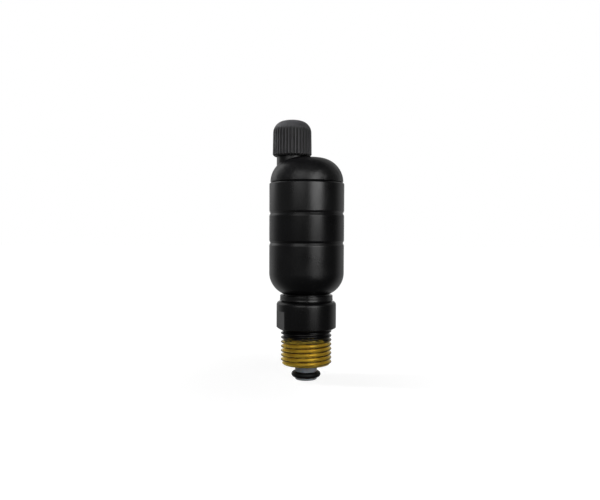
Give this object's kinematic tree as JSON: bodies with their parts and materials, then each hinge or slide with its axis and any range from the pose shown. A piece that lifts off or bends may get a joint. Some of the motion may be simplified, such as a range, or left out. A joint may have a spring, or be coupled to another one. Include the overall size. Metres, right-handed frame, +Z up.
{
  "type": "automatic air release valve",
  "caption": "Automatic float air release valve: grooved round float chamber, domed cover with an offset ribbed vent cap, on a self-closing check valve with a male inlet thread.",
  "frame": {"origin": "on the valve's axis at the top of the inlet thread, just under the check valve's conical underside", "axes": "+Z up along the valve's axis towards the vent cap; the cap's chimney is offset to -X; the picture looks along +Y"},
  "size_m": [0.0308, 0.0308, 0.1067],
  "materials": {
    "black_painted_brass": "satin black paint over forged and turned brass; the end of the inlet thread is bare",
    "bare_brass": "machined",
    "dark_moulded_plastic": "moulded, matte",
    "white_acetal": "moulded, satin",
    "natural_polypropylene": "moulded, waxy",
    "black_rubber": "moulded, semi-gloss",
    "stainless_steel": "stamped and drawn"
  },
  "bodies": {
    "check_valve": {"check_body": "black_painted_brass", "plunger_spring": "stainless_steel"},
    "plunger": {"check_plunger": "white_acetal", "plunger_o_ring": "black_rubber"},
    "joint_seal": {"joint_washer": "black_rubber"},
    "vent": {"vent_body": "black_painted_brass", "vent_cover": "black_painted_brass", "cover_o_ring": "black_rubber", "seat_insert": "bare_brass", "seat_washer": "black_rubber", "lever_bracket": "stainless_steel", "pivot_pin": "stainless_steel", "stem_spring": "stainless_steel"},
    "float": {"float_shell": "natural_polypropylene", "float_plug": "natural_polypropylene"},
    "lever": {"float_lever": "stainless_steel", "float_pin": "stainless_steel"},
    "stem": {"valve_stem": "bare_brass", "stem_pad": "black_rubber", "stem_clip": "stainless_steel", "stem_collar": "bare_brass"},
    "cap_seal": {"cap_gasket": "black_rubber"},
    "cap": {"vent_cap": "dark_moulded_plastic"}
  },
  "joints": [
    {"name": "vent_lift", "type": "slide", "parent": "check_valve", "child": "joint_seal", "axis": [0, 0, 1], "range_m": [0, 0.00401]},
    {"name": "vent_unscrew", "type": "hinge", "parent": "joint_seal", "child": "vent", "pos_m": [0, 0, 0.008], "axis": [0, 0, 1], "range_deg": [0, 1080]},
    {"name": "plunger_rise", "type": "slide", "parent": "check_valve", "child": "plunger", "axis": [0, 0, 1], "range_m": [0, 0.00402], "deforming": ["plunger_spring"]},
    {"name": "float_rise", "type": "slide", "parent": "vent", "child": "float", "axis": [0, 0, 1], "range_m": [0, 0.00365]},
    {"name": "lever_tilt", "type": "hinge", "parent": "vent", "child": "lever", "pos_m": [-0.0096, 0, 0.06196], "axis": [0, -1, 0], "range_deg": [0, 21.85]},
    {"name": "stem_rise", "type": "slide", "parent": "vent", "child": "stem", "axis": [0, 0, 1], "range_m": [0, 0.00135], "deforming": ["stem_spring"]},
    {"name": "cap_lift", "type": "slide", "parent": "vent", "child": "cap_seal", "axis": [0, 0, 1], "range_m": [0, 0.0075]},
    {"name": "cap_unscrew", "type": "hinge", "parent": "cap_seal", "child": "cap", "pos_m": [-0.00606, 0, 0.08], "axis": [0, 0, 1], "range_deg": [0, 1800]}
  ],
  "couplings": [
    {"joint": "vent_unscrew", "follows": "vent_lift", "rad_per_m": 4699.5},
    {"joint": "plunger_rise", "follows": "vent_lift", "ratio": 1},
    {"joint": "lever_tilt", "follows": "float_rise", "rad_per_m": 104.17},
    {"joint": "stem_rise", "follows": "float_rise", "ratio": 0.36875},
    {"joint": "cap_unscrew", "follows": "cap_lift", "rad_per_m": 4188.8}
  ]
}
